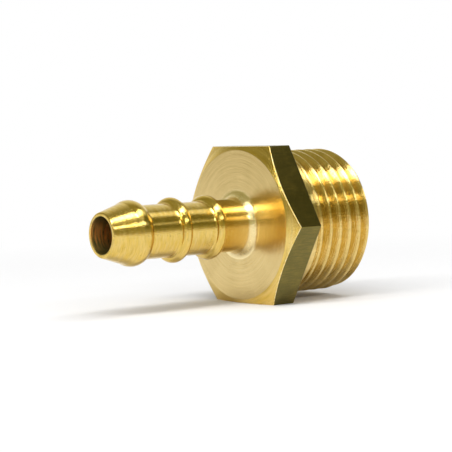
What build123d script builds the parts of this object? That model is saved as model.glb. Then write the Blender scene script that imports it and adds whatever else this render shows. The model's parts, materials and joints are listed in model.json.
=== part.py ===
from build123d import *
import os
from math import ceil, radians, tan

# Brass hose tail with a hexagon and a parallel pipe thread, turned from one bar.
# Millimetres and degrees. +X runs along the axis, from the hose end to the threaded end.
# The origin lies on the axis, on the shoulder where the hexagon ends and the thread starts.
# The hexagon has flats at +Z and -Z, and the part lies on the flat at -Z.

# Male thread G 1/2, right-hand, with flat crests and roots in place of round ones
thread_major_diameter = 20.955
thread_pitch = 1.814
thread_depth = 1.162
thread_flank_angle = 27.5
thread_length = 12.35
thread_crest_x = 1.93
thread_end_chamfer = 1

# Plain land beside the shoulder, a hair larger than the crests, and the grooves' run-out from it
land_length = 1.6
land_step = 0.02
runout_length = 1.8
runout_sink = 0.1

# Hexagon, turned to a shallow cone on the hose side only
hex_across_flats = 22.6
hex_length = 4.65
hex_face_diameter = 21.65
hex_chamfer_angle = 22

# Hose tail: a coned barb at the tip and half-round beads on a plain shank
tail_length = 23.6
tip_diameter = 6.25
tip_edge_radius = 0.25
barb_diameter = 9.2
barb_from_tip = 4.6
barb_rear_length = 1.6
barb_crest_radius = 1.2
shank_diameter = 7.55
bead_diameter = 9.2
bead_count = 2
first_bead_from_tip = 11.7
bead_spacing = 6.05
bead_foot_radius = 0.3
root_fillet_radius = 0.3

# Passage: a narrow bore through the tail, opened out by a larger drill from the threaded end
bore_diameter = 5.15
counterbore_diameter = 15
counterbore_depth = 12.5
counterbore_mouth_chamfer = 0.4
drill_point_angle = 118

# Derived places along the axis
hex_face_x = -hex_length
tip_x = hex_face_x - tail_length
barb_x = tip_x + barb_from_tip
bead_places = [tip_x + first_bead_from_tip + i * bead_spacing for i in range(bead_count)]
counterbore_floor_x = thread_length - counterbore_depth

# Derived radii
thread_radius = thread_major_diameter / 2
hex_face_radius = hex_face_diameter / 2
hex_corner_radius = hex_across_flats / 3**0.5
thread_root_radius = thread_radius - thread_depth
land_radius = thread_radius + land_step
runout_foot_radius = thread_root_radius - runout_sink
clear_radius = 2 * thread_radius
tip_radius = tip_diameter / 2
barb_radius = barb_diameter / 2
shank_radius = shank_diameter / 2
bead_height = bead_diameter / 2 - shank_radius
bore_radius = bore_diameter / 2
counterbore_radius = counterbore_diameter / 2

# Derived slopes
hex_chamfer_slope = tan(radians(hex_chamfer_angle))
drill_point_slope = tan(radians(drill_point_angle / 2))

# The run-out falls by the thread's depth over its length, and goes on to end under the roots
runout_end_x = land_length + (land_radius - runout_foot_radius) * runout_length / thread_depth

# One pitch of the thread's profile, from the start of a crest to the start of the next one
flank_run = thread_depth * tan(radians(thread_flank_angle))
thread_flat = (thread_pitch - 2 * flank_run) / 2
thread_profile = [
    (0, thread_radius),
    (thread_flat, thread_radius),
    (thread_flat + flank_run, thread_root_radius),
    (thread_pitch - flank_run, thread_root_radius),
    (thread_pitch, thread_radius),
]

# The turns start two pitches before the first crest and reach past the threaded end
turns_start_x = thread_crest_x % thread_pitch - thread_flat / 2 - 2 * thread_pitch
turn_count = ceil((thread_length - turns_start_x) / thread_pitch)


def corners_at_radius(sketch, radius):
    """The section's corners at this distance from the axis, in order from the hose end."""
    return sketch.vertices().filter_by(lambda corner: abs(corner.Y - radius) < 1e-6).sort_by(Axis.X)


def thread_line(x, radius):
    """One turn of a right-hand helix that starts at this place along the axis, over the top."""
    return Edge.make_helix(thread_pitch, thread_pitch, radius, center=(x, 0, 0), normal=(1, 0, 0))


def thread_turn(x):
    """One turn of the thread's surface: a crest, a flank, a root and a flank."""
    lines = [thread_line(x + along, radius) for along, radius in thread_profile]
    return [Face.make_surface_from_curves(near, far) for near, far in zip(lines, lines[1:])]


def thread_closing(x, rim):
    """A screw-shaped floor from the axis to the rim's turn, and the step between its two ends."""
    floor = Face.make_surface_from_curves(Edge.make_line((x, 0, 0), (x + thread_pitch, 0, 0)), rim)
    outline = [(x + along, 0, radius) for along, radius in thread_profile]
    step = Face(Wire.make_polygon([(x, 0, 0), *outline, (x + thread_pitch, 0, 0)], close=True))
    return [floor, step]


with BuildPart() as thread:
    # Whole turns, closed at both ends
    thread_faces = []
    for turn in range(turn_count):
        thread_faces += thread_turn(turns_start_x + turn * thread_pitch)
    turns_end_x = turns_start_x + turn_count * thread_pitch
    thread_faces += thread_closing(turns_start_x, thread_line(turns_start_x, thread_radius))
    thread_faces += thread_closing(turns_end_x, thread_line(turns_end_x, thread_radius))
    add(Solid(Shell(thread_faces)))

    # Cut square inside the land and at the threaded end
    with BuildSketch(Plane.XZ):
        with BuildLine():
            Polyline(
                (land_length / 2, 0),
                (land_length / 2, clear_radius),
                (thread_length, clear_radius),
                (thread_length, 0),
                close=True,
            )
        make_face()
    revolve(axis=Axis.X, mode=Mode.INTERSECT)

    # End chamfer, cut by a ring that reaches past it on both sides
    with BuildSketch(Plane.XZ):
        with BuildLine():
            Polyline(
                (thread_length + thread_end_chamfer, thread_radius - 2 * thread_end_chamfer),
                (thread_length - 2 * thread_end_chamfer, thread_radius + thread_end_chamfer),
                (thread_length + thread_end_chamfer, thread_radius + thread_end_chamfer),
                close=True,
            )
        make_face()
    revolve(axis=Axis.X, mode=Mode.SUBTRACT)

with BuildPart() as hose_tail:
    # Turned outline of the tail, the core of the hexagon, the thread's land and its run-out
    with BuildSketch(Plane.XZ) as turned_section:
        with BuildLine():
            Polyline((tip_x, 0), (tip_x, tip_radius), (barb_x, barb_radius))
            barb_rear = TangentArc(
                (barb_x, barb_radius), (barb_x + barb_rear_length, shank_radius), tangent=(1, 0)
            )
            Polyline(
                barb_rear @ 1,
                (hex_face_x, shank_radius),
                (hex_face_x, hex_face_radius),
                (0, hex_face_radius),
                (0, land_radius),
                (land_length, land_radius),
                (runout_end_x, runout_foot_radius),
                (runout_end_x, 0),
                (tip_x, 0),
            )
        make_face()
        with Locations([(bead_x, shank_radius) for bead_x in bead_places]):
            Circle(bead_height)

        # Along the shank the corners are the barb's rear foot, two at each bead, and the root
        shank_corners = corners_at_radius(turned_section, shank_radius)
        bead_front_corners = shank_corners[1:-1:2]
        fillet(bead_front_corners, radius=bead_foot_radius)
        fillet(corners_at_radius(turned_section, shank_radius)[-1], radius=root_fillet_radius)
        fillet(corners_at_radius(turned_section, barb_radius)[0], radius=barb_crest_radius)
        fillet(corners_at_radius(turned_section, tip_radius)[0], radius=tip_edge_radius)
    revolve(axis=Axis.X)
    add(thread.part)

    # Hexagon, then the cone that turns off its corners on the hose side
    with BuildSketch(Plane.YZ.offset(hex_face_x)):
        RegularPolygon(radius=hex_across_flats / 2, side_count=6, major_radius=False)
    extrude(amount=hex_length)
    cone_rim_radius = hex_corner_radius + hex_length
    with BuildSketch(Plane.XZ):
        with BuildLine():
            Polyline(
                (hex_face_x, hex_face_radius),
                (hex_face_x, cone_rim_radius),
                (hex_face_x + (cone_rim_radius - hex_face_radius) * hex_chamfer_slope, cone_rim_radius),
                close=True,
            )
        make_face()
    revolve(axis=Axis.X, mode=Mode.SUBTRACT)

    # Passage, with the cone that the larger drill's point leaves
    drill_point_length = (counterbore_radius - bore_radius) / drill_point_slope
    with BuildSketch(Plane.XZ):
        with BuildLine():
            Polyline(
                (tip_x, 0),
                (tip_x, bore_radius),
                (counterbore_floor_x - drill_point_length, bore_radius),
                (counterbore_floor_x, counterbore_radius),
                (thread_length - counterbore_mouth_chamfer, counterbore_radius),
                (thread_length, counterbore_radius + counterbore_mouth_chamfer),
                (thread_length, 0),
                close=True,
            )
        make_face()
    revolve(axis=Axis.X, mode=Mode.SUBTRACT)

hose_tail.part.label = "hose_tail"

os.makedirs("parts", exist_ok=True)
export_step(hose_tail.part, "parts/hose_tail.step")
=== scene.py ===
import json
from math import atan2, cos, pi, radians, sin, sqrt, tan

import bpy
from bpy.props import FloatProperty, FloatVectorProperty, IntProperty, PointerProperty
from bpy.types import Operator, Panel, PropertyGroup
from mathutils import Matrix, Vector


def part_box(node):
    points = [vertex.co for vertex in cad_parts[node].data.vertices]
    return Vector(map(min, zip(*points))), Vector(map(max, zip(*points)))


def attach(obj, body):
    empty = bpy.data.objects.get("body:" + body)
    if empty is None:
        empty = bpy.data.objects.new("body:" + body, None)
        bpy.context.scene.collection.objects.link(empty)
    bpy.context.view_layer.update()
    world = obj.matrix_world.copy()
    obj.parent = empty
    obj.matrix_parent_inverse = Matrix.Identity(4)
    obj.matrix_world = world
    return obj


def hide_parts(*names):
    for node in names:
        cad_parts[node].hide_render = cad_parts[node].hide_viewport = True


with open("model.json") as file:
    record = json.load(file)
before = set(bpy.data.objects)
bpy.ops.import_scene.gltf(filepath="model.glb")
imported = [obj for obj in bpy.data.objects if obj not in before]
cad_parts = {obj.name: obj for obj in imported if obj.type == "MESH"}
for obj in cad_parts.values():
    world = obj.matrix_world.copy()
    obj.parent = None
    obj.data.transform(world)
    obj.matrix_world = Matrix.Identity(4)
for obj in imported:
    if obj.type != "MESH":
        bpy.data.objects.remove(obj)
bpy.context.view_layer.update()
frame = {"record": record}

bl_info = {
    "name": "Brass Hose Tail",
    "version": (1, 0, 0),
    "blender": (4, 5, 0),
    "location": "View3D > Sidebar > Hose Tail",
    "description": "Makes a turned brass hose tail with a male pipe thread, and a studio to show it in",
    "category": "Add Mesh",
}

NODE = "hose_tail"
MOUNTS = {mount["name"]: mount for mount in frame["record"]["mounts"]}
NODE_LOW, NODE_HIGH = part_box(NODE)

MILLIMETRE = 0.001
LAND_RADIUS = MOUNTS["thread"]["dims"]["r_mm"] * MILLIMETRE
LAND_LENGTH = MOUNTS["thread"]["dims"]["length_mm"] * MILLIMETRE
BORE_RADIUS = MOUNTS["tail_bore"]["dims"]["r_mm"] * MILLIMETRE
COUNTERBORE_RADIUS = MOUNTS["counterbore"]["dims"]["r_mm"] * MILLIMETRE

# Edges that turn by more than this are sharp
SHARP_ANGLE = radians(32)

# Rows of the mesh across the hexagon's face and shoulder, as shares of the way
FACE_ROWS = (0.03, 0.1, 0.25, 0.4, 0.55, 0.7, 0.85, 0.97)
SHOULDER_ROWS = (0.05, 0.4, 0.8, 1)

# The mesh of the end face has a row this far outside the counterbore's mouth
END_FACE_STEP = 1.1 * MILLIMETRE

# The skin's finishes, in the order of its materials
TURNED, FACED, DRAWN, THREADED, DRILLED, BURRED = range(6)


class HoseTailSizes(PropertyGroup):
    """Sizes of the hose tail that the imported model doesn't state. Lengths are in metres."""

    barb_radius: FloatProperty(
        name="Barb radius", description="Radius of the barb's crest", default=0.0046, unit="LENGTH"
    )
    barb_from_tip: FloatProperty(
        name="Barb from tip", description="Distance from the tip to the barb's crest", default=0.0046,
        unit="LENGTH",
    )
    barb_rear_length: FloatProperty(
        name="Barb rear", description="Length of the curve behind the barb's crest", default=0.0016,
        unit="LENGTH",
    )
    barb_crest_radius: FloatProperty(
        name="Barb crest", description="Rounding between the cone and the barb's rear", default=0.0012,
        unit="LENGTH",
    )
    tip_radius: FloatProperty(
        name="Tip radius", description="Radius of the tail at its tip", default=0.003125, unit="LENGTH"
    )
    tip_edge_radius: FloatProperty(
        name="Tip edge", description="Rounding of the tip's outer edge", default=0.00025, unit="LENGTH"
    )
    shank_radius: FloatProperty(
        name="Shank radius", description="Radius of the plain shank", default=0.003775, unit="LENGTH"
    )
    bead_height: FloatProperty(
        name="Bead height", description="How far a bead stands above the shank", default=0.000825,
        unit="LENGTH",
    )
    first_bead_from_tip: FloatProperty(
        name="First bead", description="Distance from the tip to the first bead", default=0.0117,
        unit="LENGTH",
    )
    bead_spacing: FloatProperty(
        name="Bead spacing", description="Distance between beads", default=0.00605, unit="LENGTH"
    )
    bead_count: IntProperty(name="Beads", description="Number of beads", default=2, min=1)
    foot_radius: FloatProperty(
        name="Foot radius", description="Rounding at a bead's front foot", default=0.0003,
        unit="LENGTH",
    )
    root_radius: FloatProperty(
        name="Root radius", description="Rounding where the shank meets the hexagon's face",
        default=0.0012, unit="LENGTH",
    )
    bore_edge_radius: FloatProperty(
        name="Bore edge", description="Rounding of the bore's mouth at the tip", default=0.00008,
        precision=6, unit="LENGTH",
    )
    # Painted sheen: the shank is painted paler over this length beside the hexagon, for its reflection of
    # the face
    painted_sheen_length: FloatProperty(
        name="Burnished length", description="Length of shank that is paler, beside the hexagon",
        default=0.0045, unit="LENGTH",
    )
    hex_length: FloatProperty(
        name="Hexagon length", description="Length of the hexagon along the axis", default=0.00465,
        unit="LENGTH",
    )
    hex_face_radius: FloatProperty(
        name="Hexagon face radius", description="Radius at which the hexagon's chamfer starts",
        default=0.010825, unit="LENGTH",
    )
    hex_chamfer_angle: FloatProperty(
        name="Hexagon chamfer", description="Slope of the hexagon's chamfer", default=radians(22),
        subtype="ANGLE",
    )
    hex_edge_radius: FloatProperty(
        name="Hexagon edge", description="Rounding of the hexagon's edges", default=0.00012,
        unit="LENGTH",
    )
    thread_radius: FloatProperty(
        name="Thread radius", description="Radius of the thread's crests", default=0.0104775,
        precision=6, unit="LENGTH",
    )
    thread_pitch: FloatProperty(
        name="Thread pitch", description="Distance between the thread's crests", default=0.001814,
        unit="LENGTH",
    )
    thread_flank_angle: FloatProperty(
        name="Thread flank", description="Angle between a flank and the plane across the axis",
        default=radians(27.5), subtype="ANGLE",
    )
    thread_first_crest: FloatProperty(
        name="Thread crest", description="Distance from the shoulder to a crest at the top",
        default=0.00193, precision=6, unit="LENGTH",
    )
    thread_runout: FloatProperty(
        name="Thread runout", description="Length over which the groove grows to its full depth",
        default=0.0018, unit="LENGTH",
    )
    thread_end_chamfer: FloatProperty(
        name="Thread end chamfer", description="Chamfer at the threaded end", default=0.001,
        unit="LENGTH",
    )
    counterbore_depth: FloatProperty(
        name="Counterbore depth", description="Depth of the counterbore's straight wall",
        default=0.0125, unit="LENGTH",
    )
    mouth_chamfer: FloatProperty(
        name="Mouth chamfer", description="Chamfer at the counterbore's mouth", default=0.0004,
        unit="LENGTH",
    )
    drill_point_angle: FloatProperty(
        name="Drill point", description="Angle of the cone at the counterbore's floor",
        default=radians(118), subtype="ANGLE",
    )
    columns: IntProperty(
        name="Columns", description="Mesh columns round the axis, a multiple of 6", default=240, min=48
    )


# Turned sections are lists of places along the axis and radii


def straight(start, end, steps):
    """Points from start towards end, with start and without end."""
    return [
        tuple(a + (b - a) * step / steps for a, b in zip(start, end))
        for step in range(steps)
    ]


def arc(centre, radius, start_angle, end_angle, steps):
    """Points on a circle, with both ends."""
    angles = [start_angle + (end_angle - start_angle) * step / steps for step in range(steps + 1)]
    return [(centre[0] + radius * cos(angle), centre[1] + radius * sin(angle)) for angle in angles]


def rounded(before, corner, after, radius, steps):
    """The arc that rounds a corner between two straight lines."""
    corner = Vector(corner)
    back = (Vector(before) - corner).normalized()
    ahead = (Vector(after) - corner).normalized()
    half_angle = back.angle(ahead) / 2
    centre = corner + (back + ahead).normalized() * radius / sin(half_angle)
    first = corner + back * radius / tan(half_angle) - centre
    last = corner + ahead * radius / tan(half_angle) - centre
    turn = first.angle_signed(last)
    start = atan2(first.y, first.x)
    return arc(centre, radius, start, start - turn, steps)


def barb_section(sizes, tip_x):
    """The cone, the rounded crest and the curved rear of the barb."""
    crest = Vector((tip_x + sizes.barb_from_tip, sizes.barb_radius))
    tip_corner = Vector((tip_x, sizes.tip_radius))
    cone = (crest - tip_corner).normalized()
    inward = Vector((cone.y, -cone.x))
    drop = sizes.barb_radius - sizes.shank_radius
    rear_radius = (drop**2 + sizes.barb_rear_length**2) / (2 * drop)
    rear_centre = Vector((crest.x, crest.y - rear_radius))

    # The crest's rounding touches the cone and lies inside the rear's circle
    radius = sizes.barb_crest_radius
    from_rear = crest + inward * radius - rear_centre
    along = from_rear.dot(cone)
    back = along + sqrt(along**2 - from_rear.length_squared + (rear_radius - radius) ** 2)
    centre = crest + inward * radius - cone * back
    touch = (centre - rear_centre).normalized()
    crest_start = atan2(-inward.y, -inward.x)
    crest_end = atan2(touch.y, touch.x)
    rear_end = atan2(sizes.shank_radius - rear_centre.y, sizes.barb_rear_length)

    section = rounded((tip_x, 0), tip_corner, crest, sizes.tip_edge_radius, steps=6)
    cone_start = section[-1]
    crest_points = arc(centre, radius, crest_start, crest_end, steps=8)
    section += straight(cone_start, crest_points[0], steps=14)[1:]
    section += crest_points
    section += arc(rear_centre, rear_radius, crest_end, rear_end, steps=14)[1:]
    return section


def bead_section(sizes, bead_x):
    """A half-round bead with a rounded foot on the hose side."""
    shank, height, foot = sizes.shank_radius, sizes.bead_height, sizes.foot_radius
    reach = sqrt((height + foot) ** 2 - foot**2)
    lean = atan2(foot, reach)
    points = arc((bead_x - reach, shank + foot), foot, -pi / 2, -lean, steps=6)
    points += arc((bead_x, shank), height, pi - lean, 0, steps=20)[1:]
    return points


def tail_section(sizes, tip_x, face_x):
    """The tail from the tip's outer edge to the hexagon's face."""
    shank = sizes.shank_radius
    section = barb_section(sizes, tip_x)
    for number in range(sizes.bead_count):
        bead = bead_section(sizes, tip_x + sizes.first_bead_from_tip + number * sizes.bead_spacing)
        section += straight(section[-1], bead[0], steps=10)[1:]
        section += bead
    radius = sizes.root_radius
    root = arc((face_x - radius, shank + radius), radius, -pi / 2, 0, steps=12)
    section += straight(section[-1], root[0], steps=12)[1:]
    section += root
    return section


def direction(angle):
    """A unit vector at this angle from +Y towards +Z."""
    return Vector((cos(angle), sin(angle)))


def hexagon_outline(across_flats, edge_radius, columns):
    """The hexagon's outline with rounded corners, one point for each column, a corner at +Y."""
    side = columns // 6
    half_arc = 3
    easing = 0.4
    corner_distance = (across_flats / 2 - edge_radius) / cos(pi / 6)
    outline = []
    for number in range(6):
        angle = number * pi / 3
        corner = direction(angle) * corner_distance
        next_corner = direction(angle + pi / 3) * corner_distance
        for step in range(side):
            # An arc round this corner, the flat with its points drawn in to both ends, an arc
            if step <= half_arc:
                point = corner + direction(angle + pi / 6 * step / half_arc) * edge_radius
            elif step < side - half_arc:
                share = (step - half_arc) / (side - 2 * half_arc)
                share += easing * ((1 - cos(pi * share)) / 2 - share)
                point = corner.lerp(next_corner, share) + direction(angle + pi / 6) * edge_radius
            else:
                back = pi / 6 * (side - step) / half_arc
                point = next_corner + direction(angle + pi / 3 - back) * edge_radius
            outline.append(point)
    return outline


def hexagon_lane(sizes, face_x, limit):
    """One column of the hexagon from its face's rim to the shoulder: finishes, places and radii."""
    edge = sizes.hex_edge_radius
    slope = tan(sizes.hex_chamfer_angle)
    rim = (face_x, sizes.hex_face_radius)
    corner = (face_x + (limit - sizes.hex_face_radius) * slope, limit)
    rim_arc = rounded((face_x, 0), rim, corner, edge, steps=3)
    front_arc = rounded(rim, corner, (0, limit), edge, steps=4)
    back_arc = rounded((face_x, limit), (0, limit), (0, 0), edge, steps=3)
    chamfer = straight(rim_arc[-1], front_arc[0], steps=6)[1:]

    # The flat has a row close to each edge, so that the roundings' shading stays on them
    flat_start = (front_arc[-1][0] + edge, limit)
    flat_end = (back_arc[0][0] - edge, limit)
    flat = straight(flat_start, flat_end, steps=8) + [flat_end]
    stretches = (
        (FACED, rim_arc[:1]),
        (TURNED, rim_arc[1:] + chamfer + front_arc[:1]),
        (BURRED, front_arc[1:]),
        (DRAWN, flat + back_arc),
    )
    return [(finish, x, radius) for finish, stretch in stretches for x, radius in stretch]


class ThreadForm:
    """The thread's surface: a radius for each place along the axis and angle round it."""

    def __init__(self, sizes, length):
        self.sizes = sizes
        self.length = length
        self.pitch = sizes.thread_pitch
        flank = sizes.thread_flank_angle

        # Rounding and depth of the 55 degree form, from its sharp triangle less a sixth at each end
        triangle = self.pitch / (2 * tan(flank))
        self.depth = triangle * 2 / 3
        self.rounding = (triangle / 6) / (1 / sin(flank) - 1)
        self.arc_half = self.rounding * cos(flank)
        self.arc_drop = self.rounding * (1 - sin(flank))
        self.flank_slope = 1 / tan(flank)
        self.crest_x = sizes.thread_first_crest - self.pitch / 4

    def drop(self, distance):
        """How far the surface lies under the crest, at a distance along the axis from it."""
        half = self.pitch / 2
        if distance < self.arc_half:
            return self.rounding - sqrt(self.rounding**2 - distance**2)
        if distance > half - self.arc_half:
            return self.depth - self.rounding + sqrt(self.rounding**2 - (half - distance) ** 2)
        return self.arc_drop + (distance - self.arc_half) * self.flank_slope

    def phases(self):
        """Places across one pitch from crest to crest, close together on the rounded parts."""
        half = self.pitch / 2
        crest = [self.rounding * sin(radians(angle)) for angle in (0, 15, 30, 45)] + [self.arc_half]
        flank = [crest[-1] + (half - 2 * self.arc_half) * share for share in (0.25, 0.5, 0.75)]
        root = [half - place for place in reversed(crest)]
        first_half = crest + flank + root
        second_half = [self.pitch - place for place in reversed(first_half[1:-1])]
        return [place / self.pitch for place in first_half + second_half]

    def radius(self, x, turn):
        """The radius at x from the shoulder and at this share of a turn from +Y."""
        sizes = self.sizes
        from_crest = (x - self.crest_x - self.pitch * turn) % self.pitch
        radius = sizes.thread_radius - self.drop(min(from_crest, self.pitch - from_crest))
        runout = LAND_RADIUS - self.depth * max(0, x - LAND_LENGTH) / sizes.thread_runout
        chamfer = sizes.thread_radius - sizes.thread_end_chamfer + (self.length - x)
        return min(max(radius, runout), chamfer)


def point_at(x, radius, angle):
    """The point at this place along the axis, distance from it and angle from +Y towards +Z."""
    return (x, radius * cos(angle), radius * sin(angle))


def between(first_values, last_values, share):
    """Values this share of the way from the first ones to the last ones."""
    return [first + (last - first) * share for first, last in zip(first_values, last_values)]


class Skin:
    """Grows one closed skin row by row, each row one point for each column round the axis."""

    def __init__(self, columns):
        self.columns = columns
        self.turns = [column / columns for column in range(columns)]
        self.angles = [2 * pi * turn for turn in self.turns]
        self.points = []
        self.faces = []
        self.finishes = []
        self.first_row = None
        self.last_row = None

    def add_points(self, points):
        """Adds points and gives their numbers."""
        start = len(self.points)
        self.points += points
        return list(range(start, len(self.points)))

    def add_face(self, corners, finish):
        """Adds a face if its corners span one."""
        distinct = [corner for place, corner in enumerate(corners) if corner != corners[place - 1]]
        if len(distinct) > 2:
            self.faces.append(distinct)
            self.finishes.append(finish)

    def join(self, row, finish):
        """Joins a row of point numbers to the last one."""
        before = self.last_row
        if before is None:
            self.first_row = row
        else:
            for column in range(self.columns):
                beside = (column + 1) % self.columns
                self.add_face([before[column], before[beside], row[beside], row[column]], finish)
        self.last_row = row

    def grow(self, xs, radii, angles, finish):
        """Adds a row from the place along the axis, radius and angle of each column."""
        self.join(self.add_points(list(map(point_at, xs, radii, angles))), finish)

    def turn(self, section, finish):
        """Adds a turned surface along a section of places and radii."""
        for x, radius in section:
            self.grow([x] * self.columns, [radius] * self.columns, self.angles, finish)

    def wind(self, form, finish):
        """Adds the thread, in lanes along the axis whose points follow the helix from lane to lane."""
        phases = form.phases()
        across = len(phases)
        clearance = form.pitch * 0.01

        # Enough turns to start before the shoulder and to reach past the end in every lane
        turns_before = int(-form.crest_x // form.pitch) - 1
        strips = (int(form.length / form.pitch) + 4) * across

        start_row = self.last_row
        end_radii = [form.radius(form.length, turn) for turn in self.turns]
        end_places = [form.length] * self.columns
        end_row = self.add_points(list(map(point_at, end_places, end_radii, self.angles)))
        lanes = []
        for column, (turn, angle) in enumerate(zip(self.turns, self.angles)):
            lane = []
            for strip in range(strips):
                place = turns_before + strip // across + phases[strip % across]
                x = form.crest_x + form.pitch * (turn + place)
                if x < clearance:
                    lane.append(start_row[column])
                elif x > form.length - clearance:
                    lane.append(end_row[column])
                else:
                    lane += self.add_points([point_at(x, form.radius(x, turn), angle)])
            lanes.append(lane)

        # After a whole turn the first lane comes again, one pitch further on
        lanes.append(lanes[0][across:] + [end_row[0]] * across)
        for near, far in zip(lanes, lanes[1:]):
            for strip in range(strips - 1):
                self.add_face([near[strip], far[strip], far[strip + 1], near[strip + 1]], finish)
        self.last_row = end_row

    def close(self, finish):
        """Joins the last row to the first one."""
        self.join(self.first_row, finish)

    def mesh(self, name, materials):
        """The skin as a mesh with smooth faces and sharp edges."""
        mesh = bpy.data.meshes.new(name)
        mesh.from_pydata(self.points, [], self.faces)
        for material in materials:
            mesh.materials.append(material)
        mesh.polygons.foreach_set("material_index", self.finishes)
        mesh.polygons.foreach_set("use_smooth", [True] * len(self.faces))
        mesh.set_sharp_from_angle(angle=SHARP_ANGLE)
        mesh.validate()
        mesh.update()
        return mesh


def add_hexagon(skin, sizes, root_radius):
    """The hexagon, from the root of the tail on its face to the thread's land on its shoulder."""
    face_x = -sizes.hex_length
    outline = hexagon_outline(NODE_HIGH.z - NODE_LOW.z, sizes.hex_edge_radius, sizes.columns)
    outline_angles = [atan2(point.y, point.x) % (2 * pi) for point in outline]

    # Face: the columns slide from even angles to the hexagon's own
    for share in FACE_ROWS:
        radius = root_radius + (sizes.hex_face_radius - root_radius) * share
        angles = between(skin.angles, outline_angles, share)
        skin.grow([face_x] * skin.columns, [radius] * skin.columns, angles, FACED)

    # Chamfer, burred edge and flats, each column in its own plane through the axis
    lanes = [hexagon_lane(sizes, face_x, point.length) for point in outline]
    for row in zip(*lanes):
        finishes, xs, radii = zip(*row)
        skin.grow(xs, radii, outline_angles, finishes[0])

    # Shoulder: the columns slide back to even angles
    rim_radii = [point.length - sizes.hex_edge_radius for point in outline]
    for share in SHOULDER_ROWS:
        radii = between(rim_radii, [LAND_RADIUS] * skin.columns, share)
        angles = between(outline_angles, skin.angles, share)
        skin.grow([0] * skin.columns, radii, angles, FACED)


def add_passage(skin, sizes, tip_x, end_x):
    """The end face, the counterbore, the drill's cone and the narrow bore."""
    floor_x = end_x - sizes.counterbore_depth
    cone_length = (COUNTERBORE_RADIUS - BORE_RADIUS) / tan(sizes.drill_point_angle / 2)
    mouth_radius = COUNTERBORE_RADIUS + sizes.mouth_chamfer
    skin.turn([(end_x, mouth_radius + END_FACE_STEP), (end_x, mouth_radius)], FACED)

    wall_start = (end_x - sizes.mouth_chamfer, COUNTERBORE_RADIUS)
    cone_start = (floor_x, COUNTERBORE_RADIUS)
    bore_start = (floor_x - cone_length, BORE_RADIUS)
    bore_end = (tip_x + sizes.bore_edge_radius, BORE_RADIUS)
    skin.turn(straight(wall_start, cone_start, steps=6), FACED)
    skin.turn(straight(cone_start, bore_start, steps=4), FACED)
    skin.turn(straight(bore_start, bore_end, steps=8), DRILLED)


def hose_tail_skin(sizes):
    """The whole hose tail as one closed skin, from the bore's mouth round to it again."""
    tip_x, end_x = NODE_LOW.x, NODE_HIGH.x
    skin = Skin(sizes.columns)
    mouth_corner = (tip_x, BORE_RADIUS)
    tip_corner = (tip_x, sizes.tip_radius)
    skin.turn(rounded((0, BORE_RADIUS), mouth_corner, tip_corner, sizes.bore_edge_radius, steps=4), DRILLED)
    section = tail_section(sizes, tip_x, -sizes.hex_length)
    skin.turn(section, TURNED)
    root_radius = section[-1][1]
    add_hexagon(skin, sizes, root_radius)
    skin.wind(ThreadForm(sizes, end_x), THREADED)
    add_passage(skin, sizes, tip_x, end_x)
    skin.close(DRILLED)
    return skin


class Shade:
    """A value in a node tree. Arithmetic on it adds Math nodes."""

    def __init__(self, finish, socket):
        self.finish = finish
        self.socket = socket

    def output(self, name):
        """Another output of the same node."""
        return Shade(self.finish, self.socket.node.outputs[name])

    def math(self, operation, first, second):
        """The result of one Math node."""
        return self.finish.node("ShaderNodeMath", {"operation": operation}, {0: first, 1: second})

    def smaller(self, other):
        """The smaller of two values."""
        return self.math("MINIMUM", self, other)

    def larger(self, other):
        """The larger of two values."""
        return self.math("MAXIMUM", self, other)

    def blend(self, first, second):
        """A mix of two colours that holds this share of the second one."""
        # A Mix node has its colours on sockets 6 and 7 and on output 2
        return self.finish.node("ShaderNodeMix", {"data_type": "RGBA"}, {0: self, 6: first, 7: second}, 2)

    def __add__(self, other):
        return self.math("ADD", self, other)

    def __radd__(self, other):
        return self.math("ADD", other, self)

    def __sub__(self, other):
        return self.math("SUBTRACT", self, other)

    def __rsub__(self, other):
        return self.math("SUBTRACT", other, self)

    def __mul__(self, other):
        return self.math("MULTIPLY", self, other)

    def __rmul__(self, other):
        return self.math("MULTIPLY", other, self)

    def __truediv__(self, other):
        return self.math("DIVIDE", self, other)

    def __rtruediv__(self, other):
        return self.math("DIVIDE", other, self)

    def __pow__(self, other):
        return self.math("POWER", self, other)

    def __rpow__(self, other):
        return self.math("POWER", other, self)


class Finish:
    """The node tree of a material or of the world."""

    def __init__(self, block):
        self.block = block
        block.use_nodes = True
        self.tree = block.node_tree
        self.tree.nodes.clear()

    def node(self, kind, settings=None, values=None, output=0):
        """Adds a node: its settings first, then the values or links of its sockets."""
        node = self.tree.nodes.new(kind)
        for name, value in (settings or {}).items():
            setattr(node, name, value)
        for name, value in (values or {}).items():
            if isinstance(value, Shade):
                self.tree.links.new(value.socket, node.inputs[name])
            else:
                node.inputs[name].default_value = value
        return Shade(self, node.outputs[output]) if node.outputs else None

    def place(self):
        """Where a point lies in the object's own space."""
        return self.node("ShaderNodeTexCoord", output="Object")


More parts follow.
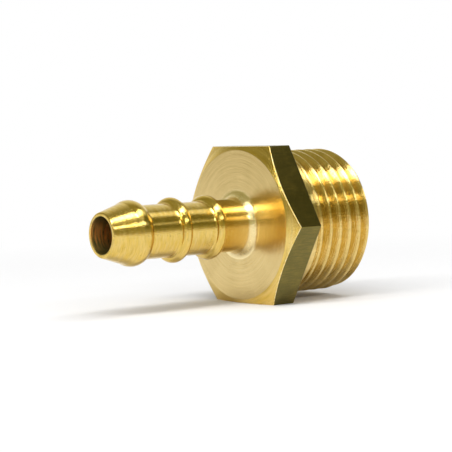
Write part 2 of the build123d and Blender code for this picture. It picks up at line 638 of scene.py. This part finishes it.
class BrassLook(PropertyGroup):
    """Colours of the brass."""

    polished: FloatVectorProperty(
        name="Polished brass", description="Colour of the turned and polished surfaces", size=4,
        subtype="COLOR", min=0, max=1, default=(0.75, 0.518, 0.11, 1),
    )
    faced: FloatVectorProperty(
        name="Faced brass", description="Colour of the surfaces turned across the axis", size=4,
        subtype="COLOR", min=0, max=1, default=(0.79, 0.605, 0.28, 1),
    )
    tarnished: FloatVectorProperty(
        name="Tarnished brass", description="Colour of the bar's own skin on the hexagon's flats",
        size=4, subtype="COLOR", min=0, max=1, default=(0.155, 0.13, 0.037, 1),
    )
    cut: FloatVectorProperty(
        name="Cut brass", description="Colour of the thread and of bright turning marks", size=4,
        subtype="COLOR", min=0, max=1, default=(0.82, 0.62, 0.24, 1),
    )
    stained: FloatVectorProperty(
        name="Stained brass", description="Colour of the brown stains", size=4, subtype="COLOR",
        min=0, max=1, default=(0.46, 0.32, 0.07, 1),
    )
    # Painted light: this pale colour is painted as a sheen on the shank beside the hexagon and as a
    # highlight on the ring round the tail's root; on the burr it is partly the burr's own colour, partly a
    # painted highlight
    painted_sheen_and_burr: FloatVectorProperty(
        name="Burnished brass", description="Colour of the shank's root and of the burr", size=4,
        subtype="COLOR", min=0, max=1, default=(0.96, 0.81, 0.46, 1),
    )
    # Painted light: the bright colour painted on the narrow bore's sides, against the painted shade above
    # and below them
    drilled: FloatVectorProperty(
        name="Drilled brass", description="Colour of the narrow bore at its sides", size=4,
        subtype="COLOR", min=0, max=1, default=(0.98, 0.5, 0.14, 1),
    )


class Places:
    """Where a point lies, along the axis, away from it and round it, and noise over such places."""

    def __init__(self, finish):
        self.finish = finish
        self.point = finish.place()
        self.x = finish.node("ShaderNodeSeparateXYZ", {}, {0: self.point})
        self.y = self.x.output("Y")
        self.z = self.x.output("Z")
        self.radius = (self.y * self.y + self.z * self.z) ** 0.5
        self.angle = self.z.math("ARCTAN2", self.z, self.y)

    def near_root(self, sizes):
        """Nearly one in the middle of the root's rounding, and below zero a little beyond its ends."""
        reach = 1.35
        behind = self.x + sizes.hex_length
        above = self.radius - sizes.shank_radius
        return reach - (behind * behind + above * above) ** 0.5 / sizes.root_radius

    def noise(self, vector, scale, detail):
        """Noise between 0 and 1."""
        return self.finish.node(
            "ShaderNodeTexNoise", {"noise_dimensions": "3D", "normalize": True},
            {"Vector": vector, "Scale": scale, "Detail": detail, "Roughness": 0.6},
        )

    def grain(self, scale, detail):
        """Noise that is alike in all directions."""
        return self.noise(self.point, scale, detail)

    def stretched(self, first, second, third, detail):
        """Noise over three values in place of a point."""
        vector = self.finish.node("ShaderNodeCombineXYZ", {}, {0: first, 1: second, 2: third})
        return self.noise(vector, 1.0, detail)

    def rings(self, along, away, round_it, detail):
        """Noise that is stretched into rings round the axis, with its scale along each way."""
        return self.stretched(self.x * along, self.radius * away, self.angle * round_it, detail)


def brass_finish(name):
    """The nodes of a new material, and the places of its points."""
    finish = Finish(bpy.data.materials.new(name))
    return finish, Places(finish)


def brass_shader(finish, colour, roughness, height, distance):
    """A metal surface, whose bumps stand this distance out at a height of one."""
    bump = finish.node("ShaderNodeBump", {}, {"Height": height, "Strength": 1.0, "Distance": distance})
    shader = finish.node(
        "ShaderNodeBsdfPrincipled", {},
        {"Base Color": colour, "Metallic": 1.0, "Roughness": roughness, "Normal": bump},
    )
    finish.node("ShaderNodeOutputMaterial", {}, {"Surface": shader})
    return finish.block


def turned_brass(look, sizes):
    """Polished brass with turning marks round the axis, a fine grain, dark pits and a painted sheen beside
    the hexagon's face.
    """
    finish, places = brass_finish("turned_brass")
    feed = places.rings(9000, 0, 2.5, detail=3.0)
    wave = places.rings(2400, 0, 1.6, detail=2.0)
    grain = places.grain(5200, detail=3.0)
    patches = places.grain(800, detail=4.0)
    pits = (places.grain(6500, detail=1.0) - 0.7) * 12
    bright = (wave * 2.4 - 0.9).blend(look.polished, look.cut)
    marked = ((feed * 3 - 1.3) * 0.7).blend(bright, look.stained)
    pitted = pits.blend(marked, look.tarnished)

    # Painted sheen: paler over the last stretch before the hexagon's face, out to six millimetres from the
    # axis, standing for the shank's reflection of the face
    painted_sheen_share = (places.x + sizes.hex_length) / sizes.painted_sheen_length + 1
    on_shank = 6 - places.radius / MILLIMETRE
    colour = (painted_sheen_share.smaller(on_shank) * 0.8).blend(pitted, look.painted_sheen_and_burr)
    root = places.near_root(sizes).larger(0)
    roughness = 0.3 * patches * grain + 0.1 * feed + 0.15 * root
    height = feed * 0.3 + wave * 0.15 + grain * 0.95 - 0.8 * pits.larger(0)
    return brass_shader(finish, colour, roughness, height, distance=0.000016)


def faced_brass(look, sizes):
    """Brass turned across the axis, with marks in circles and a painted highlight: a paler ring at the
    tail's root.
    """
    finish, places = brass_finish("faced_brass")
    feed = places.rings(0, 9500, 1.4, detail=3.0)
    wave = places.rings(0, 2600, 0.9, detail=2.0)
    sectors = places.rings(0, 60, 3.0, detail=2.0)
    patches = places.grain(300, detail=3.0)
    # Painted highlight: the face is painted paler in a ring round the tail's root
    bright = (places.near_root(sizes) * 0.8).blend(look.faced, look.painted_sheen_and_burr)
    stain = (feed + wave - 0.65) * (patches + sectors) * 0.42
    colour = stain.blend(bright, look.stained)
    roughness = 0.06 + 0.16 * patches + 0.16 * sectors
    height = feed * 0.5 + wave * 0.5
    return brass_shader(finish, colour, roughness, height, distance=0.00002)


def bar_brass(look):
    """The bar's drawn and tarnished skin."""
    finish, places = brass_finish("bar_brass")
    lines = places.stretched(places.x * 500, places.y * 9000, places.z * 9000, detail=3.0)
    patches = places.grain(500, detail=4.0)
    bare = (lines - 0.45) * 0.5 + (patches - 0.5) * 0.3
    colour = bare.blend(look.tarnished, look.polished)
    roughness = 0.2 + 0.1 * patches
    return brass_shader(finish, colour, roughness, lines, distance=0.000004)


def threaded_brass(look):
    """Brass cut by a threading tool, with chatter marks across its turns."""
    finish, places = brass_finish("threaded_brass")
    feed = places.rings(16000, 0, 4.0, detail=2.0)
    chatter = places.rings(900, 0, 40.0, detail=2.0)
    patches = places.grain(600, detail=4.0)
    bright = (feed * 2 - 1).blend(look.cut, look.polished)
    colour = ((patches * chatter * 4 - 0.55) * 0.5).blend(bright, look.stained)
    roughness = 0.05 + 0.15 * patches
    height = feed * 0.8 + chatter * 0.2
    return brass_shader(finish, colour, roughness, height, distance=0.00006)


def burred_brass(look):
    """The fine burr along the hexagon's front edges, rough, with specks, and pale partly as its own colour
    and partly as a painted highlight.
    """
    finish, places = brass_finish("burred_brass")
    specks = places.grain(4000, detail=3.0)
    # Partly painted highlight: pale specks along the edge, for the bright line that a rounded edge catches
    colour = (specks * 4 - 1.5).blend(look.polished, look.painted_sheen_and_burr)
    roughness = 0.25 + 0.4 * specks
    return brass_shader(finish, colour, roughness, specks, distance=0.00008)


def drilled_brass(look):
    """The narrow bore, drilled, with dark streaks, and painted light and shade: redder and brighter at its
    sides, darker above and below.
    """
    finish, places = brass_finish("drilled_brass")
    streaks = places.rings(2500, 0, 0.7, detail=3.0)
    # Painted light and shade: the bore's sides are painted bright red and its top and bottom dark
    side = 1.4 - (places.z * places.z) ** 0.5 * (1.6 / BORE_RADIUS)
    brown = side.blend(look.tarnished, look.drilled)
    colour = (streaks * 5 - 2.3).blend(brown, look.tarnished)
    roughness = 0.42 + 0.3 * streaks
    return brass_shader(finish, colour, roughness, streaks, distance=0.00006)


class HOSETAIL_OT_body(Operator):
    """Makes the hose tail with its thread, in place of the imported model's node"""

    bl_idname = "hosetail.body"
    bl_label = "Hose tail"

    def execute(self, context):
        sizes = context.scene.hose_tail_sizes
        skin = hose_tail_skin(sizes)
        look = context.scene.brass_look
        materials = [
            turned_brass(look, sizes), faced_brass(look, sizes), bar_brass(look),
            threaded_brass(look), drilled_brass(look), burred_brass(look),
        ]
        body = bpy.data.objects.new("hose_tail_body", skin.mesh("hose_tail_body", materials))
        context.scene.collection.objects.link(body)
        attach(body, "root")
        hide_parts(NODE)
        return {"FINISHED"}


class StudioSettings(PropertyGroup):
    """Where the camera stands and how the light is set."""

    camera_place: FloatVectorProperty(
        name="Camera place", description="Where the camera stands", size=3, subtype="TRANSLATION",
        default=(-0.1527757, -0.1873859, 0.0150054), precision=6,
    )
    camera_yaw: FloatProperty(
        name="Camera yaw", description="Turn of the view from +Y towards +X", default=0.6619,
        subtype="ANGLE",
    )
    camera_pitch: FloatProperty(
        name="Camera pitch", description="Tilt of the view above the horizon", default=-0.0632,
        subtype="ANGLE",
    )
    camera_roll: FloatProperty(
        name="Camera roll", description="Roll of the view about its own line", default=-0.0290,
        subtype="ANGLE",
    )
    camera_lens: FloatProperty(
        name="Lens", description="Focal length for a sensor 36 mm wide, in millimetres", default=132.25
    )


def seen_directly(finish):
    """One for rays from the camera, and for those that metal or glass sends on."""
    camera_ray = finish.node("ShaderNodeLightPath", output="Is Camera Ray")
    glossy_ray = camera_ray.output("Is Glossy Ray")
    transmission_ray = camera_ray.output("Is Transmission Ray")
    return camera_ray.larger(glossy_ray).larger(transmission_ray)


def faded(finish, value, start, end):
    """Zero up to the start and one from the end on, with a soft passage between them."""
    return finish.node(
        "ShaderNodeMapRange", {"interpolation_type": "SMOOTHSTEP"},
        {"Value": value, "From Min": start, "From Max": end, "To Min": 0.0, "To Max": 1.0},
    )


def link_stage(scene, name, points, faces, material):
    """Adds a part of the studio."""
    mesh = bpy.data.meshes.new(name)
    mesh.from_pydata(points, [], faces)
    mesh.polygons.foreach_set("use_smooth", [True] * len(faces))
    mesh.materials.append(material)
    made = bpy.data.objects.new(name, mesh)
    scene.collection.objects.link(made)
    return made


# Distances from the origin between which the floor turns plain white
FLOOR_FADE = (0.04, 0.14)


def make_floor(scene):
    """A pale floor that turns plain white away from the object."""
    finish = Finish(bpy.data.materials.new("studio_floor"))
    measure = {"operation": "LENGTH"}
    distance = finish.node("ShaderNodeVectorMath", measure, {0: finish.place()}, "Value")
    away = faded(finish, distance, *FLOOR_FADE)
    pale = finish.node("ShaderNodeBsdfDiffuse", {}, {"Color": (0.82, 0.82, 0.82, 1)})
    white = finish.node("ShaderNodeEmission", {}, {"Color": (1, 1, 1, 1), "Strength": 1.0})
    share = seen_directly(finish) * away
    mixed = finish.node("ShaderNodeMixShader", {}, {0: share, 1: pale, 2: white})
    finish.node("ShaderNodeOutputMaterial", {}, {"Surface": mixed})
    half, z = 3.0, NODE_LOW.z
    corners = [(-half, -half, z), (half, -half, z), (half, half, z), (-half, half, z)]
    link_stage(scene, "floor", corners, [(0, 1, 2, 3)], finish.block)


# The tent's walls, and its patches: middle, half-angle, half-angle of the even part, colour
TENT_WALLS = (0.34, 0.32, 0.16, 1)
TENT_PATCHES = (
    ((0.72, -0.45, 0.53), 60, 25, (0.19, 0.18, 0.07, 1)),
    ((0, 0, -1), 106, 91, (0.46, 0.43, 0.26, 1)),
    ((0.14, -0.43, 0.9), 26, 6, (0.75, 0.72, 0.5, 1)),
    ((0.56, 0.81, 0.15), 68, 20, (0.9, 0.9, 0.78, 1)),
)

# The tent is a dome of this radius, with panels of 5 degrees. Its opening takes in this many rows
# of panels from the floor up, and these columns, counted from +Y towards +X
TENT_RADIUS = 2.0
TENT_COLUMNS = 72
TENT_ROWS = 18
OPEN_ROWS = 4
OPEN_COLUMNS = range(-2, 13)


def tent_material():
    """The light that the tent's walls give off, by the direction from the object."""
    finish = Finish(bpy.data.materials.new("light_tent"))
    outward = finish.node("ShaderNodeVectorMath", {"operation": "NORMALIZE"}, {0: finish.place()})
    colour = TENT_WALLS
    for middle, outer, inner, patch_colour in TENT_PATCHES:
        compare = {"operation": "DOT_PRODUCT"}
        aligned = finish.node("ShaderNodeVectorMath", compare, {0: outward, 1: middle}, "Value")
        share = faded(finish, aligned, cos(radians(outer)), cos(radians(inner)))
        colour = share.blend(colour, patch_colour)
    cloth = finish.node("ShaderNodeEmission", {}, {"Color": colour, "Strength": 1.0})
    finish.node("ShaderNodeOutputMaterial", {}, {"Surface": cloth})
    return finish.block


def make_tent(scene):
    """A light tent, open behind the object, that shows only as a reflection."""
    points = []
    for row in range(TENT_ROWS + 1):
        elevation = radians(90 * row / TENT_ROWS)
        reach, height = TENT_RADIUS * cos(elevation), TENT_RADIUS * sin(elevation)
        for column in range(TENT_COLUMNS):
            azimuth = radians(360 * column / TENT_COLUMNS)
            points.append((reach * sin(azimuth), reach * cos(azimuth), NODE_LOW.z + height))
    faces = []
    for row in range(TENT_ROWS):
        for column in range(TENT_COLUMNS):
            facing_opening = column in OPEN_COLUMNS or column - TENT_COLUMNS in OPEN_COLUMNS
            if row >= OPEN_ROWS or not facing_opening:
                beside = (column + 1) % TENT_COLUMNS
                low, high = row * TENT_COLUMNS, (row + 1) * TENT_COLUMNS
                faces.append((low + column, low + beside, high + beside, high + column))
    tent = link_stage(scene, "light_tent", points, faces, tent_material())
    tent.visible_camera = False
    tent.visible_shadow = False
    tent.visible_diffuse = False


# How strongly the white background lights the floor, where it isn't seen directly
SKY_LIGHT = 0.46


def make_world(scene):
    """A background that shows as plain white and gives a weaker light."""
    sky = Finish(bpy.data.worlds.new("studio"))
    strength = SKY_LIGHT + (1 - SKY_LIGHT) * seen_directly(sky)
    background = sky.node("ShaderNodeBackground", {}, {"Color": (1, 1, 1, 1), "Strength": strength})
    sky.node("ShaderNodeOutputWorld", {}, {"Surface": background})
    scene.world = sky.block


# Each lamp: name, place, the point it faces, the way its long side runs, size, brightness
LAMPS = (
    ("overhead_softbox", (-0.9, 0.01, 0.6), (-0.9, 0.01, 0), (-0.93, 0.37, 0), (1.68, 0.17), 9.0),
    ("overhead_middle", (0.1, -0.21, 0.6), (0.1, -0.21, 0), (0.97, 0.25, 0), (0.44, 0.2), 5.0),
    ("side_panel", (0.5, -0.1, 0.6), (0.5, -0.1, 0), (0.97, 0.25, 0), (0.36, 0.26), 0.9),
    ("front_strip", (0, -0.92, 0.6), (0, 0, 0), (1, 0, 0), (0.95, 0.09), 7.0),
    ("side_strip", (0.8, -0.88, 0.6), (0, 0, 0), (1, 0, 0), (0.65, 0.06), 1.2),
    ("hose_end_strip", (-0.8, -0.88, 0.6), (0, 0, 0), (1, 0, 0), (0.65, 0.07), 7.0),
)


def make_lamp(scene, name, place, aim, long_side, size, brightness):
    """A soft rectangular lamp, with more power the larger it is."""
    lamp = bpy.data.lights.new(name, "AREA")
    lamp.shape = "RECTANGLE"
    lamp.size, lamp.size_y = size
    lamp.energy = brightness * pi * size[0] * size[1]
    made = bpy.data.objects.new(name, lamp)
    back = (Vector(place) - Vector(aim)).normalized()
    long_side = Vector(long_side)
    along = (long_side - back * long_side.dot(back)).normalized()
    turn = Matrix((along, back.cross(along), back)).transposed()
    made.matrix_world = Matrix.Translation(place) @ turn.to_4x4()
    scene.collection.objects.link(made)


def make_camera(scene, settings):
    """The camera that sees the object as in the photograph."""
    yaw, pitch, roll = settings.camera_yaw, settings.camera_pitch, settings.camera_roll
    ahead = Vector((sin(yaw) * cos(pitch), cos(yaw) * cos(pitch), sin(pitch)))
    level = Vector((cos(yaw), -sin(yaw), 0))
    upright = level.cross(ahead)
    right = level * cos(roll) + upright * sin(roll)
    up = upright * cos(roll) - level * sin(roll)
    camera_data = bpy.data.cameras.new("camera")
    camera_data.lens = settings.camera_lens
    camera_data.sensor_width = 36
    camera_data.clip_start = 0.01
    camera = bpy.data.objects.new("camera", camera_data)
    turn = Matrix((right, up, -ahead)).transposed()
    camera.matrix_world = Matrix.Translation(settings.camera_place) @ turn.to_4x4()
    scene.collection.objects.link(camera)
    scene.camera = camera


class HOSETAIL_OT_stage(Operator):
    """Makes the floor, the light and the camera"""

    bl_idname = "hosetail.stage"
    bl_label = "Studio"

    def execute(self, context):
        scene = context.scene
        make_floor(scene)
        make_tent(scene)
        make_world(scene)
        for lamp in LAMPS:
            make_lamp(scene, *lamp)
        make_camera(scene, scene.studio_settings)
        scene.view_settings.view_transform = "Standard"
        return {"FINISHED"}


class HOSETAIL_PT_panel(Panel):
    """Lists the pieces and the studio"""

    bl_idname = "HOSETAIL_PT_panel"
    bl_label = "Hose tail"
    bl_space_type = "VIEW_3D"
    bl_region_type = "UI"
    bl_category = "Hose Tail"

    def draw(self, context):
        layout = self.layout
        for operator in OPERATORS:
            layout.operator(operator.bl_idname)
        scene = context.scene
        for group in (scene.hose_tail_sizes, scene.brass_look, scene.studio_settings):
            box = layout.box()
            for name in group.__annotations__:
                box.prop(group, name)


OPERATORS = (HOSETAIL_OT_body, HOSETAIL_OT_stage)
CLASSES = (HoseTailSizes, BrassLook, StudioSettings, *OPERATORS, HOSETAIL_PT_panel)


def register():
    for made_class in CLASSES:
        bpy.utils.register_class(made_class)
    bpy.types.Scene.hose_tail_sizes = PointerProperty(type=HoseTailSizes)
    bpy.types.Scene.brass_look = PointerProperty(type=BrassLook)
    bpy.types.Scene.studio_settings = PointerProperty(type=StudioSettings)


def unregister():
    del bpy.types.Scene.studio_settings
    del bpy.types.Scene.brass_look
    del bpy.types.Scene.hose_tail_sizes
    for made_class in reversed(CLASSES):
        bpy.utils.unregister_class(made_class)


def main():
    register()
    bpy.ops.hosetail.body()
    bpy.ops.hosetail.stage()


if __name__ == "__main__":
    main()
